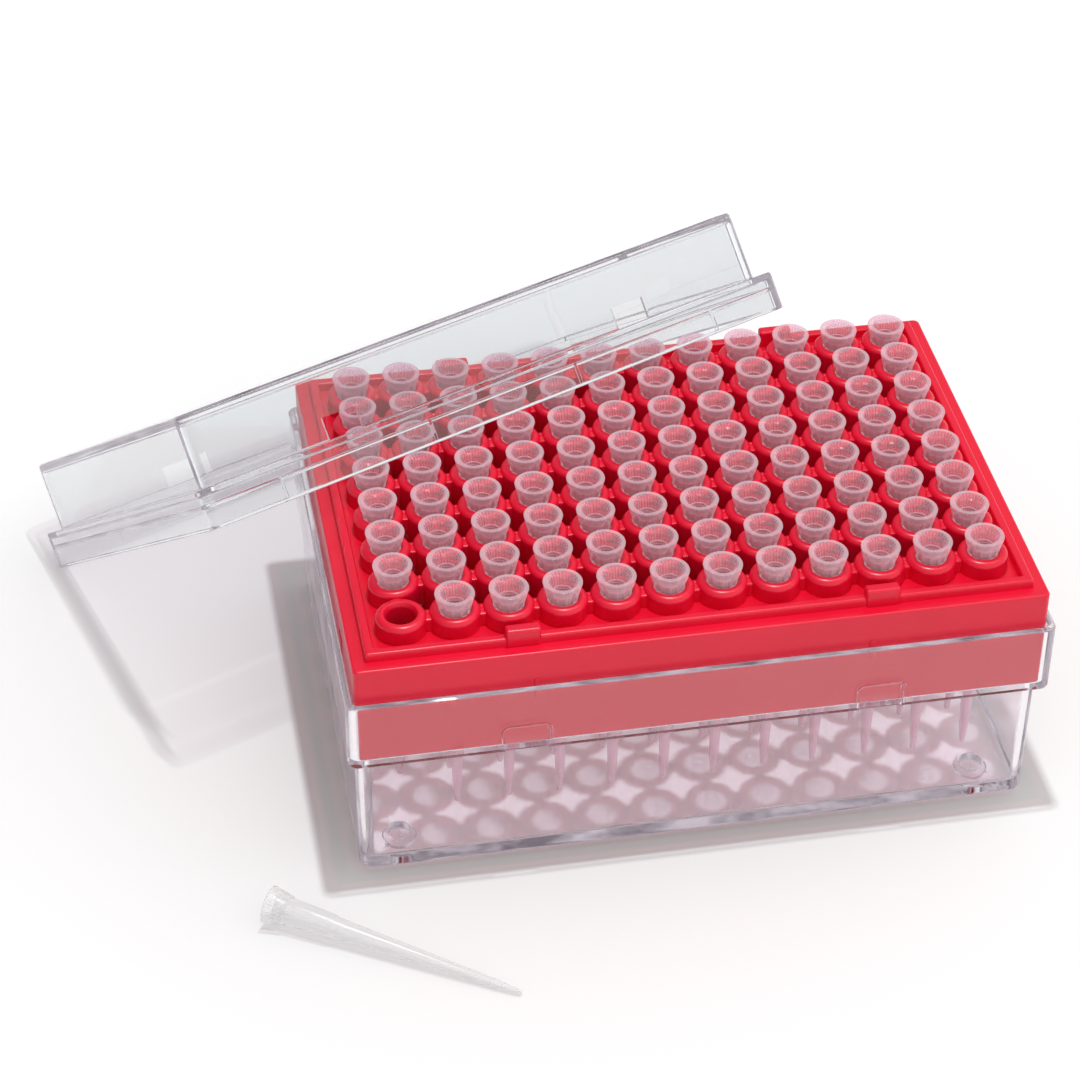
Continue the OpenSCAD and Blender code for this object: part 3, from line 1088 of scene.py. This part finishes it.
@dataclass
class Rack:
    """The red rack: a walled deck with a raised ridge, four tabs and a grid of tubes and webs."""

    finish: Material
    grid: WellGrid
    wall: float = 1.6
    deck_t: float = 1.6
    deck_z: float = 46.35
    border_w: float = 2.3
    ridge_w: float = 1.8
    ridge_h: float = 1.6
    tab_x: float = 30.3
    tab_w: float = 5.9
    tab_d: float = 2.1
    tab_h: float = 3.3
    tab_proud: float = 0.2
    # Small bumps on the walls that grip the base's rim
    grip_x: float = 28.4
    grip_y: float = 24.6
    grip_side_w: float = 1.0
    grip_end_w: float = 2.6
    grip_root: float = 0.3
    grip_proud: float = 0.2
    grip_below: float = 2.4
    grip_above: float = 1.1
    grip_round: float = 0.18
    nub_r: float = 0.45
    tube_d: float = 8.6
    tube_h: float = 3.4
    tube_skirt: float = 5.0
    tube_round: float = 1.0
    bore_d: float = 4.9
    seat_d: float = 5.5
    row_web_w: float = 2.9
    column_web_w: float = 1.8
    web_drop: float = 0.8
    web_round: float = 0.5
    # How far a web runs on into each tube's wall
    web_overlap: float = 0.7

    def body(self, length: float, width: float, foot_z: float) -> BMesh:
        """Walls, border and ridge.

        Args:
            length: overall length.
            width: overall width.
            foot_z: height of the wall's lower edge.

        Returns:
            The mesh.
        """
        seam = self.border_w + self.ridge_w / 2
        under = self.deck_z - self.deck_t
        walls = [
            Corner(0, foot_z, 1.0, 0.2),
            Corner(0, self.deck_z, 1.0, 0.45),
            Corner(seam, self.deck_z, 0.3),
            Corner(seam, under, 0.3),
            Corner(self.wall, under, 0.3, 0.5),
            Corner(self.wall, foot_z, 0.3, 0.2),
        ]
        ridge = [
            Corner(self.border_w, self.deck_z - 0.1, 0.35),
            Corner(self.border_w, self.deck_z + 0.02, 0.35, 0.05),
            Corner(self.border_w + 0.12, self.deck_z + self.ridge_h, 0.35, 0.4),
            Corner(self.border_w + self.ridge_w - 0.12, self.deck_z + self.ridge_h, 0.2, 0.4),
            Corner(self.border_w + self.ridge_w, self.deck_z - 0.1, 0.2),
        ]
        bm = loft(length, width, walls, closed=True, arc_steps=6)
        merge(bm, loft(length, width, ridge, closed=True, arc_steps=4))
        return bm

    def add_deck(self, bm: BMesh, length: float, width: float) -> None:
        """Add the flat plate between the ridge and the outer wells, cut round their bores.

        Args:
            bm: the mesh that takes it.
            length: overall length.
            width: overall width.
        """
        seam = self.border_w + self.ridge_w / 2
        outer = rounded_ring(length / 2 - seam, width / 2 - seam, 0.3, 4)
        radius = (self.seat_d + self.tube_d) / 4
        steps = 8
        inner: list[tuple[float, float]] = []
        last_c, last_r = self.grid.columns - 1, self.grid.rows - 1
        walk = [(c, 0, 180) for c in range(self.grid.columns)]
        walk += [(last_c, r, 270) for r in range(1, self.grid.rows)]
        walk += [(c, last_r, 0) for c in range(last_c - 1, -1, -1)]
        walk += [(0, r, 90) for r in range(last_r - 1, 0, -1)]
        turns = {(0, 0): 90, (last_c, 0): 180, (last_c, last_r): 270, (0, last_r): 0}
        for c, r, start in walk:
            first = turns.get((c, r), start)
            sweep = 270 if (c, r) in turns else 180
            for k in range(steps + 1):
                angle = math.radians(first + sweep * k / steps)
                inner.append((self.grid.x(c) + radius * math.cos(angle),
                              self.grid.y(r) + radius * math.sin(angle)))
        top_z, low_z = self.deck_z, self.deck_z - self.deck_t
        loops = []
        for outline in (outer, inner):
            loops.append([[bm.verts.new((x, y, z)) for x, y in outline] for z in (top_z, low_z)])
        for high, low in loops:
            bridge(bm, high, low)
        for level in (0, 1):
            edges = []
            for ring in (loops[0][level], loops[1][level]):
                for k in range(len(ring)):
                    edges.append(bm.edges.get((ring[k], ring[(k + 1) % len(ring)])))
            bmesh.ops.triangle_fill(bm, use_beauty=True, use_dissolve=True, edges=edges)

    def add_tabs(self, bm: BMesh, width: float, rim_z: float, length: float) -> None:
        """Add the four tabs on the ridge and the small bumps that grip the base's rim.

        Args:
            bm: the mesh that takes them.
            width: overall width.
            rim_z: height of the top of the base's rim.
            length: overall length.
        """
        edge = width / 2 - self.border_w + self.tab_proud
        for x, side in four_places(self.tab_x):
            near, far = sorted((side * edge, side * (edge - self.tab_d)))
            add_block(bm, (x - self.tab_w / 2, near, self.deck_z - 0.6),
                      (x + self.tab_w / 2, far, self.deck_z + self.tab_h), bevel=0.5, segments=4)
        low_z, high_z = rim_z - self.grip_below, rim_z + self.grip_above
        for x, side in four_places(self.grip_x):
            near, far = sorted(side * (width / 2 + d) for d in (-self.grip_root, self.grip_proud))
            half = self.grip_side_w / 2
            add_block(bm, (x - half, near, low_z), (x + half, far, high_z), self.grip_round)
        for y, side in four_places(self.grip_y):
            near, far = sorted(side * (length / 2 + d) for d in (-self.grip_root, self.grip_proud))
            half = self.grip_end_w / 2
            add_block(bm, (near, y - half, low_z), (far, y + half, high_z), self.grip_round)

    def tube(self) -> Object:
        """Tube of one well, its top rolled over into the seat and the bore.

        Returns:
            The tube, for the tree to place.
        """
        top = self.deck_z + self.tube_h
        foot = self.deck_z - self.deck_t - self.tube_skirt
        r, rr = self.tube_d / 2, self.tube_round
        section = [(self.bore_d / 2, foot), (r, foot)]
        for k in range(6):
            angle = math.radians(18 * k)
            section.append((r - rr * (1 - math.cos(angle)), top - rr * (1 - math.sin(angle))))
        seat = self.seat_d / 2
        section += [(seat + 0.28, top), (seat + 0.12, top - 0.05), (seat + 0.02, top - 0.18),
                    (seat - 0.04, top - 0.42), (seat - 0.16, top - 0.6),
                    (self.bore_d / 2, top - 1.0)]
        bm = bmesh.new()
        spin(bm, section, 40)
        return finish_mesh("well_tube", bm)

    def web(self, name: str, width: float, along_x: bool, nub: bool) -> Object:
        """A web between two tubes, its top edges rounded.

        Args:
            name: the object's name.
            width: the web's width.
            along_x: whether it ties tubes along the long side.
            nub: whether it carries the small nub on top.

        Returns:
            The object.
        """
        half = (self.grid.pitch - self.tube_d) / 2 + self.web_overlap
        top = self.deck_z + self.tube_h - self.web_drop
        low = self.deck_z - self.deck_t
        bm = bmesh.new()
        flank = [(width / 2, low), (width / 2, top - self.web_round),
                 (width / 2 - 0.15, top - 0.15), (width / 2 - self.web_round, top)]
        section = [(-v, z) for v, z in flank] + flank[::-1]
        ends = []
        for end in (-half, half):
            ends.append([bm.verts.new((end, v, z) if along_x else (v, end, z)) for v, z in section])
            bm.faces.new(ends[-1])
        bridge(bm, *ends)
        if nub:
            ball = bmesh.ops.create_uvsphere(bm, u_segments=10, v_segments=6, radius=self.nub_r)
            place = Matrix.Translation((0, self.nub_r, top - 0.15))
            bmesh.ops.transform(bm, verts=ball["verts"], matrix=place)
        return finish_mesh(name, bm)

    def wells_tree(self) -> NodeTree:
        """Geometry tree that sets the tubes on the grid and the webs between them.

        Returns:
            The tree.
        """
        tree, group = geometry_tree(
            "rack_wells",
            {"Tube": ("NodeSocketObject", None), "Row Web": ("NodeSocketObject", None),
             "Column Web": ("NodeSocketObject", None), "Columns": ("NodeSocketInt", 12),
             "Rows": ("NodeSocketInt", 8), "Pitch": ("NodeSocketFloat", 0.009),
             "Material": ("NodeSocketMaterial", None)},
        )
        add = partial(add_node, tree)
        join = add("GeometryNodeJoinGeometry")
        spans = (("Tube", 0, 0), ("Row Web", 1, 0), ("Column Web", 0, 1))
        for part, fewer_columns, fewer_rows in spans:
            counts, sizes = [], []
            for label, fewer in (("Columns", fewer_columns), ("Rows", fewer_rows)):
                count = add(
                    "ShaderNodeMath", {"operation": "SUBTRACT"},
                    {0: group.outputs[label], 1: fewer})
                gaps = add("ShaderNodeMath", {"operation": "SUBTRACT"}, {0: count, 1: 1.0})
                size = add(
                    "ShaderNodeMath", {"operation": "MULTIPLY"},
                    {0: gaps, 1: group.outputs["Pitch"]})
                counts.append(count)
                sizes.append(size)
            points = add(
                "GeometryNodeMeshGrid",
                inputs={"Size X": sizes[0], "Size Y": sizes[1], "Vertices X": counts[0],
                    "Vertices Y": counts[1]})
            source = add("GeometryNodeObjectInfo", inputs={"Object": group.outputs[part]})
            placed = add(
                "GeometryNodeInstanceOnPoints",
                inputs={"Points": points.outputs["Mesh"], "Instance": source.outputs["Geometry"]})
            tree.links.new(placed.outputs[0], join.inputs[0])
        tree.links.new(group.outputs["Geometry"], join.inputs[0])
        close_tree(tree, group, join.outputs[0])
        return tree

    def build(self) -> Object:
        """Make the rack.

        Returns:
            The finished piece.
        """
        low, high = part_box("rack")
        length, width = [(high[i] - low[i]) / MM - 2 * self.grip_proud for i in (0, 1)]
        rim_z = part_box("base")[1][2] / MM
        bm = self.body(length, width, low[2] / MM)
        self.add_deck(bm, length, width)
        self.add_tabs(bm, width, rim_z, length)
        rack = finish_mesh("rack_moulding", bm, self.finish)
        parts = {
            "Tube": self.tube(),
            "Row Web": self.web("row_web", self.row_web_w, along_x=True, nub=True),
            "Column Web": self.web("column_web", self.column_web_w, along_x=False, nub=False),
        }
        grow(rack, self.wells_tree(),
             {**parts, "Columns": self.grid.columns, "Rows": self.grid.rows,
              "Pitch": self.grid.pitch * MM, "Material": self.finish})
        for part in parts.values():
            bpy.data.objects.remove(part)
        weigh_normals(rack)
        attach(rack, "root")
        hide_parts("rack")
        return rack


# ---------------------------------------------------------------- tips


@dataclass
class Tips:
    """The pipette tips: a fluted mouth on a stepped, tapering body."""

    finish: Material
    loose_finish: Material
    grid: WellGrid
    length: float = 46.0
    collar_h: float = 3.6
    collar_d: float = 5.2
    neck_d: float = 4.6
    step_s: float = 12.3
    point_d: float = 0.9
    wall: float = 0.45
    step_in: float = 0.45
    # The ledge inside the collar where the flutes end, and its outer and inner radius
    ledge_s: float = 2.4
    ledge_out: float = 1.9
    ledge_in: float = 1.6
    # Each tip hangs a little out of true
    lean_deg: float = 0.35
    crease_deg: float = 40.0
    flutes: int = 24
    pockets: int = 12
    fine: int = 96
    coarse: int = 32

    def plain_tip(self) -> Object:
        """Make a tip with a fine mesh at its mouth and a coarse one below.

        Returns:
            The object, its rim at the origin and its point below. Two attributes say how far
            the flutes and the pockets may press each vertex inwards, in metres.
        """
        bm = bmesh.new()
        flute = bm.verts.layers.float.new("flute")
        pocket = bm.verts.layers.float.new("pocket")
        rim_r, neck_r, point_r = self.grid.rim_d / 2, self.neck_d / 2, self.point_d / 2
        step_r = neck_r - self.step_in
        # Each section is a list of distances below the rim, radii and, near the mouth, how far the
        # flutes or the pockets may press
        mouth = [(self.ledge_s, self.ledge_out, 0),
                 (self.ledge_s - 0.12, self.ledge_out + 0.06, 0.16),
                 (0.5, 2.34, 0.3), (0.25, 2.42, 0.24), (0.0, 2.62, 0)]
        outside = [(0.0, rim_r - 0.18, 0), (0.06, rim_r - 0.05, 0), (0.2, rim_r, 0),
                   (1.55, 3.04, 0), (1.7, 3.0, 0.24), (3.25, 2.68, 0.26), (3.4, 2.65, 0),
                   (self.collar_h, self.collar_d / 2, 0)]
        fine_rings = []
        for layer, section in ((flute, mouth), (pocket, outside)):
            for s, radius, amount in section:
                ring = level_ring(bm, radius, -s, self.fine)
                for vert in ring:
                    vert[layer] = amount * MM
                fine_rings.append(ring)
        end, taper_s = self.length, self.length - 3.5
        body = [(self.collar_h, neck_r), (self.step_s - 0.5, neck_r - 0.25),
                (self.step_s - 0.1, step_r + 0.03), (self.step_s + 0.1, step_r - 0.02),
                (taper_s, point_r + 0.32), (end - 0.1, point_r), (end, point_r - 0.06),
                (end, point_r - 0.2), (taper_s, point_r - 0.02),
                (self.step_s + 0.6, step_r - self.wall),
                (self.step_s, neck_r - 0.25 - self.wall), (self.ledge_s + 0.5, self.ledge_in),
                (self.ledge_s + 0.1, self.ledge_in), (self.ledge_s, self.ledge_in + 0.06)]
        coarse_rings = [level_ring(bm, radius, -s, self.coarse) for s, radius in body]
        for rings in (fine_rings, coarse_rings):
            for first, second in zip(rings, rings[1:]):
                bridge(bm, first, second)
        ratio = self.fine // self.coarse
        for fine, coarse in ((fine_rings[-1], coarse_rings[0]), (fine_rings[0], coarse_rings[-1])):
            for k in range(self.coarse):
                n = (k + 1) % self.coarse
                arc = [fine[(ratio * k + j) % self.fine] for j in range(ratio + 1)]
                bm.faces.new([coarse[k], *arc, coarse[n]])
        bmesh.ops.recalc_face_normals(bm, faces=bm.faces)
        return finish_mesh("plain_tip", bm)

    def flute_tree(self) -> NodeTree:
        """Geometry tree that presses the flutes and the pockets into a plain tip's collar.

        Returns:
            The tree.
        """
        tree, group = geometry_tree(
            "collar_flutes",
            {"Flutes": ("NodeSocketInt", 24), "Pockets": ("NodeSocketInt", 12),
             "Material": ("NodeSocketMaterial", None)},
        )
        add = partial(add_node, tree)
        place = add("GeometryNodeInputPosition").outputs[0]
        axes = add("ShaderNodeSeparateXYZ", inputs={0: place})
        angle = add(
            "ShaderNodeMath", {"operation": "ARCTAN2"},
            {0: axes.outputs["Y"], 1: axes.outputs["X"]})
        level = add("ShaderNodeCombineXYZ", inputs={0: axes.outputs["X"], 1: axes.outputs["Y"]})
        outward = add("ShaderNodeVectorMath", {"operation": "NORMALIZE"}, {0: level})
        pushes = []
        # Flutes are narrow ribs, so only the tops of the wave stand in. Pockets are wide, so only
        # its tops are left out
        waves = (("Flutes", "flute", 0.2, 1.0), ("Pockets", "pocket", 0.8, 0.55))
        for label, attribute, low, high in waves:
            turned = add(
                "ShaderNodeMath", {"operation": "MULTIPLY"}, {0: angle, 1: group.outputs[label]})
            wave = add("ShaderNodeMath", {"operation": "COSINE"}, {0: turned})
            shaped = add(
                "ShaderNodeMapRange", inputs={"Value": wave, "From Min": low, "From Max": high})
            reach = add(
                "GeometryNodeInputNamedAttribute", {"data_type": "FLOAT"}, {"Name": attribute})
            push = add(
                "ShaderNodeMath", {"operation": "MULTIPLY"},
                {0: shaped, 1: reach.outputs["Attribute"]})
            pushes.append(push)
        total = add("ShaderNodeMath", {"operation": "ADD"}, {0: pushes[0], 1: pushes[1]})
        inward = add("ShaderNodeMath", {"operation": "MULTIPLY"}, {0: total, 1: -1.0})
        move = add("ShaderNodeVectorMath", {"operation": "SCALE"}, {0: outward, "Scale": inward})
        shaped_tip = add(
            "GeometryNodeSetPosition",
            inputs={"Geometry": group.outputs["Geometry"], "Offset": move})
        close_tree(tree, group, shaped_tip.outputs[0])
        return tree

    def column_tree(self) -> NodeTree:
        """Geometry tree that hangs a row of tips, each turned its own way.

        Returns:
            The tree.
        """
        tree, group = geometry_tree(
            "tip_column",
            {"Tip": ("NodeSocketObject", None), "Count": ("NodeSocketInt", 8),
             "Start": ("NodeSocketVector", None), "Step": ("NodeSocketVector", None),
             "Seed": ("NodeSocketInt", 1), "Material": ("NodeSocketMaterial", None)},
        )
        add = partial(add_node, tree)
        line = add(
            "GeometryNodeMeshLine",
            inputs={"Count": group.outputs["Count"], "Start Location": group.outputs["Start"],
                "Offset": group.outputs["Step"]})
        lean = math.radians(self.lean_deg)
        turn = add(
            "FunctionNodeRandomValue", {"data_type": "FLOAT_VECTOR"},
            {0: (-lean, -lean, 0.0), 1: (lean, lean, 2 * math.pi), "Seed": group.outputs["Seed"]})
        source = add("GeometryNodeObjectInfo", inputs={"Object": group.outputs["Tip"]})
        placed = add(
            "GeometryNodeInstanceOnPoints",
            inputs={"Points": line, "Instance": source.outputs["Geometry"], "Rotation": turn})
        close_tree(tree, group, placed.outputs[0])
        return tree

    def make_tip(self) -> Object:
        """Make the one tip that all the others are copies of.

        Returns:
            The tip, its rim at the origin and its point below.
        """
        tip = self.plain_tip()
        values = {"Flutes": self.flutes, "Pockets": self.pockets, "Material": self.finish}
        grow(tip, self.flute_tree(), values)
        tip.data.set_sharp_from_angle(angle=math.radians(self.crease_deg))
        tip.name = "whole_tip"
        return tip

    def loose_place(self) -> Matrix:
        """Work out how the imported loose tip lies.

        Returns:
            The turn and move from a hanging tip's frame, in metres.
        """
        points = packed_points("loose_tip")
        middle = points.mean(axis=0)
        axis = np.linalg.svd(points - middle, full_matrices=False)[2][0]
        along = (points - middle) @ axis
        spread = np.linalg.norm(points - middle - np.outer(along, axis), axis=1)
        # The mouth is the wider end
        if spread[along < along.min() + MM].max() > spread[along > along.max() - MM].max():
            axis, along = -axis, -along
        up = Vector(axis)
        rim = Vector(middle) + up * float(along.max())
        side = Vector((0, 0, 1)).cross(up).normalized()
        turn = Matrix((side, up.cross(side), up)).transposed().to_4x4()
        return Matrix.Translation(rim) @ turn

    def build(self) -> list[Object]:
        """Make the columns of tips and the loose one.

        Returns:
            The finished pieces.
        """
        tip = self.make_tip()
        tree = self.column_tree()
        pieces = []
        for column in range(self.grid.columns):
            node = f"tip_column_{column + 1:02d}"
            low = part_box(node)[0][1] / MM + self.grid.rim_d / 2
            first = round((low - self.grid.y(0)) / self.grid.pitch)
            start = Vector((self.grid.x(column), self.grid.y(first), self.grid.tip_rim_z)) * MM
            name = f"tips_{column + 1:02d}"
            piece = link_object(name, bpy.data.meshes.new(name))
            grow(piece, tree,
                 {"Tip": tip, "Count": self.grid.rows - first, "Start": start,
                  "Step": Vector((0, self.grid.pitch * MM, 0)), "Seed": column + 1,
                  "Material": self.finish})
            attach(piece, "root")
            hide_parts(node)
            pieces.append(piece)
        tip.name = "tip_loose"
        tip.data.name = "tip_loose"
        tip.data.transform(self.loose_place())
        tip.data.materials.clear()
        tip.data.materials.append(self.loose_finish)
        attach(tip, "root")
        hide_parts("loose_tip")
        pieces.append(tip)
        return pieces


# ---------------------------------------------------------------- studio


@dataclass
class Studio:
    """White table, one small high lamp that draws the shadows, a bright room, and the camera."""

    lamp_place: tuple[float, float, float] = (8.0, -15.0, 520.0)
    lamp_d: float = 12.0
    lamp_watt: float = 1.2
    room_strength: float = 0.8
    # How much brighter the room is towards the front right than away from it
    room_lean: tuple[float, float, float] = (0.66, -0.56, 0.0)
    softbox_way: tuple[float, float, float] = (0.39, 0.07, 0.917)
    softbox_edge: tuple[float, float] = (0.975, 0.992)
    softbox_strength: float = 5.0
    # The room as clear walls show it, from the horizon up
    room_look: tuple[tuple[float, str], ...] = (
        (0.0, "#A79FAB"), (0.12, "#B5AEB9"), (0.4, "#E6E3E8"), (0.7, "#FFFFFF"))
    table_half: float = 3000.0
    table_gap: float = 0.02
    box_half: tuple[float, float] = (58.0, 40.0)
    camera_place: tuple[float, float, float] = (-98.27, -420.08, 376.0)
    camera_target: tuple[float, float, float] = (-24.40, -20.94, 53.4)
    camera_roll_deg: float = 0.433
    lens_mm: float = 103.6

    def build(self) -> None:
        """Make the table, the lights and the camera."""
        self.add_table()
        self.add_room()
        self.add_lamp()
        self.add_camera()

    def add_table(self) -> None:
        """Lay the table under the feet."""
        bm = bmesh.new()
        h = self.table_half
        corners = ((-h, -h), (h, -h), (h, h), (-h, h))
        bm.faces.new([bm.verts.new((x, y, -self.table_gap)) for x, y in corners])
        bm.transform(Matrix.Scale(MM, 4))
        mesh = bpy.data.meshes.new("table")
        bm.to_mesh(mesh)
        bm.free()
        foot = (self.lamp_place[0], self.lamp_place[1], 0.0)
        mesh.materials.append(TableTop(foot, self.lamp_place[2], self.box_half).build())
        link_object("table", mesh)

    def add_room(self) -> None:
        """Surround the table with an even room, brighter to the front right, with a small softbox.

        What is seen through clear walls is the room as it looks, white overhead and lilac grey
        towards the horizon. The softbox only shows as a highlight.
        """
        world = bpy.data.worlds.new("room")
        bpy.context.scene.world = world
        world.use_nodes = True
        tree = world.node_tree
        tree.nodes.clear()
        add = partial(add_node, tree)
        way = add("ShaderNodeTexCoord").outputs["Generated"]
        axes = add("ShaderNodeSeparateXYZ", inputs={0: way})
        path = add("ShaderNodeLightPath")
        towards = add(
            "ShaderNodeVectorMath", {"operation": "DOT_PRODUCT"}, {0: way, 1: self.room_lean})
        strength = self.room_strength
        lean = add(
            "ShaderNodeMath", {"operation": "MULTIPLY_ADD"},
            {0: towards.outputs["Value"], 1: strength, 2: strength})
        facing = add(
            "ShaderNodeVectorMath", {"operation": "DOT_PRODUCT"}, {0: way, 1: self.softbox_way})
        box = add(
            "ShaderNodeMapRange", {"interpolation_type": "SMOOTHSTEP"},
            {"Value": facing.outputs["Value"], "From Min": self.softbox_edge[0],
                "From Max": self.softbox_edge[1], "To Max": self.softbox_strength})
        glint = add(
            "ShaderNodeMath", {"operation": "MULTIPLY_ADD"},
            {0: box, 1: path.outputs["Is Glossy Ray"], 2: lean})
        light = add("ShaderNodeBackground", inputs={"Strength": glint})
        ramp = add("ShaderNodeValToRGB", inputs={0: axes.outputs["Z"]})
        stops = ramp.color_ramp.elements
        stops.remove(stops[1])
        for i, (position, colour) in enumerate(self.room_look):
            stop = stops.new(position) if i else stops[0]
            stop.position = position
            stop.color = linear(colour)
        look = add("ShaderNodeBackground", inputs={"Color": ramp})
        seen = add(
            "ShaderNodeMath", {"operation": "MAXIMUM"},
            {0: path.outputs["Is Camera Ray"], 1: path.outputs["Is Transmission Ray"]})
        both = add("ShaderNodeMixShader", inputs={0: seen, 1: light, 2: look})
        add("ShaderNodeOutputWorld", inputs={0: both})

    def add_lamp(self) -> None:
        """Hang the small round lamp over the box."""
        data = bpy.data.lights.new("lamp", "AREA")
        data.shape = "DISK"
        data.size = self.lamp_d * MM
        data.energy = self.lamp_watt
        link_object("lamp", data).location = Vector(self.lamp_place) * MM

    def add_camera(self) -> None:
        """Set the camera."""
        data = bpy.data.cameras.new("camera")
        data.lens = self.lens_mm
        data.sensor_width = 36.0
        data.clip_start = 0.01
        camera = link_object("camera", data)
        place, target = Vector(self.camera_place) * MM, Vector(self.camera_target) * MM
        turn = (target - place).to_track_quat("-Z", "Y").to_matrix().to_4x4()
        roll = Matrix.Rotation(math.radians(self.camera_roll_deg), 4, "Z")
        camera.matrix_world = Matrix.Translation(place) @ turn @ roll
        bpy.context.scene.camera = camera


def set_view() -> None:
    """Set the view transform and let light pass the many clear walls."""
    scene = bpy.context.scene
    scene.view_settings.view_transform = "Standard"
    scene.cycles.max_bounces = 24
    scene.cycles.transmission_bounces = 24
    scene.cycles.transparent_max_bounces = 48
    scene.cycles.caustics_reflective = False
    scene.cycles.caustics_refractive = False


def main() -> None:
    """Build the pieces in order and report each."""
    logging.basicConfig(level=logging.INFO, format="%(name)s: %(message)s")
    grid = WellGrid.from_frame()
    pieces = [Base(ClearPolystyrene().build()).build()]
    pieces.append(Rack(RackPolypropylene().build(), grid).build())
    # The tips in the rack get a pink tint, a painted reflection of the rack's red light; the loose
    # tip keeps the plain finish
    tips_painted_red_light = TipPolypropylene("natural_polypropylene_in_the_rack", "#FDE4ED")
    pieces += Tips(tips_painted_red_light.build(), TipPolypropylene().build(), grid).build()
    # The lid's moulding is a little smokier than the base's
    pieces.append(Lid(ClearPolystyrene("smoky_polystyrene_polished", "#F1F3F4").build()).build())
    Studio().build()
    set_view()
    for piece in pieces:
        piece.data.calc_loop_triangles()
        LOG.info("%s: %d triangles", piece.name, len(piece.data.loop_triangles))


if __name__ == "__main__":
    main()
